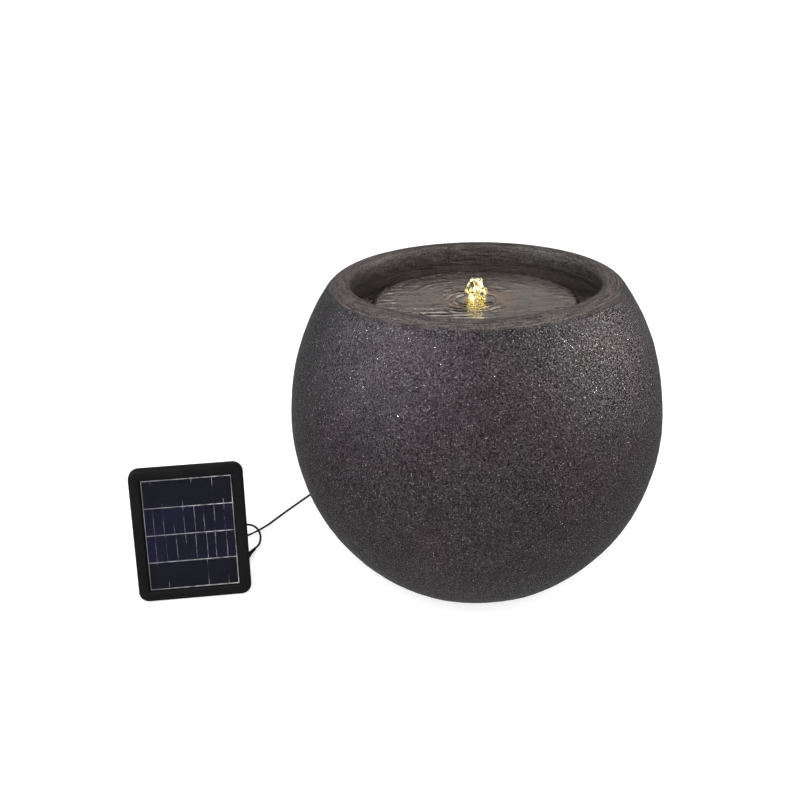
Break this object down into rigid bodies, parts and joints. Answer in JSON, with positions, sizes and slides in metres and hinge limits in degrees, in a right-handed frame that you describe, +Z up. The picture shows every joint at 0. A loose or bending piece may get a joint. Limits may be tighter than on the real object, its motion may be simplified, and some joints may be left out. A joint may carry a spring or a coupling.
{
  "type": "solar bowl fountain",
  "caption": "Round cast bowl fountain with overflow dish, lit bubbling nozzle and submersible pump, fed by a cable from a small leaning solar panel with a folding prop.",
  "frame": {"origin": "centre of the bowl's base, on the floor", "axes": "+Z up along the bowl's axis, the front faces -Y, and the solar panel stands on the -X side"},
  "size_m": [0.5718, 0.452, 0.3397],
  "materials": {
    "cast_stone": "matte",
    "water": "gloss",
    "water_lit": "gloss",
    "rubber_black": "matte",
    "cable_black": "satin",
    "plastic_black": "satin",
    "plastic_grey": "satin",
    "plastic_white": "satin",
    "frame_black": "satin",
    "foam": "matte",
    "lamination_steel": "satin",
    "steel": "satin",
    "copper": "satin",
    "magnet": "satin",
    "ceramic_white": "satin",
    "board_green": "satin",
    "board_white": "satin",
    "led_warm": "gloss",
    "clear_plastic": "gloss",
    "panel_cover": "gloss",
    "silicon": "satin",
    "silver": "satin",
    "battery_wrap": "satin",
    "wire_red": "satin"
  },
  "bodies": {
    "root": {"bowl": "cast_stone", "drain_plug": "rubber_black", "bowl_gland": "rubber_black", "gland_nut": "plastic_grey", "gland_washer": "rubber_black", "pump_body": "plastic_black", "pump_cap": "plastic_black", "stator_core": "lamination_steel", "stator_coils": "copper", "pump_board": "board_green", "volute_cover": "plastic_black", "cover_seal": "rubber_black", "shaft_bushes": "ceramic_white", "rotor_shaft": "ceramic_white", "strainer_base": "plastic_black", "strainer_cage": "plastic_black", "filter_foam": "foam", "suction_cups": "rubber_black", "riser_tube": "plastic_black", "wire_clips": "plastic_black", "nozzle": "plastic_black", "led_housing": "plastic_black", "led_board": "board_white", "leds": "led_warm", "led_lens": "clear_plastic", "pump_lead": "cable_black", "led_wire": "cable_black", "cable_start": "cable_black", "cable_coil": "cable_black", "coil_tie": "plastic_grey", "power_cable": "cable_black", "cable_plug": "rubber_black", "lead_socket": "rubber_black", "panel_lead": "cable_black", "panel_frame": "frame_black", "panel_glass": "panel_cover", "solar_cells": "silicon", "cell_ribbons": "silver", "cell_board": "board_white", "case_seal": "rubber_black", "panel_back": "frame_black", "case_screws": "steel", "box_cover": "frame_black", "box_screws": "steel", "battery": "battery_wrap", "battery_contacts": "steel", "control_board": "board_green", "panel_wires": "wire_red", "status_lens": "clear_plastic", "panel_gland": "rubber_black", "hinge_pin": "steel"},
    "dish": {"dish": "cast_stone", "dish_pads": "rubber_black", "water_film": "water", "water_jet": "water_lit"},
    "rotor": {"rotor_magnet": "magnet", "impeller": "plastic_white"},
    "flow_slider": {"flow_slider": "plastic_grey"},
    "power_button": {"power_button": "plastic_grey"},
    "prop_leg": {"prop_leg": "frame_black"}
  },
  "joints": [
    {"name": "dish_lift", "type": "slide", "parent": "root", "child": "dish", "axis": [0, 0, 1], "range_m": [0, 0.09]},
    {"name": "rotor_spin", "type": "hinge", "parent": "root", "child": "rotor", "pos_m": [-0.011, 0, 0.044], "axis": [0, 1, 0], "continuous": true},
    {"name": "flow_adjust", "type": "slide", "parent": "root", "child": "flow_slider", "axis": [1, 0, 0], "range_m": [0, 0.007]},
    {"name": "power_press", "type": "slide", "parent": "root", "child": "power_button", "axis": [0.1724, -0.9775, 0.1219], "range_m": [0, 0.0012], "stiffness_N_per_m": 900, "springref_m": -0.0004},
    {"name": "prop_fold", "type": "hinge", "parent": "root", "child": "prop_leg", "pos_m": [-0.3114, -0.05825, 0.07272], "axis": [0.9848, 0.1736, 0], "range_deg": [-25, 0]}
  ]
}
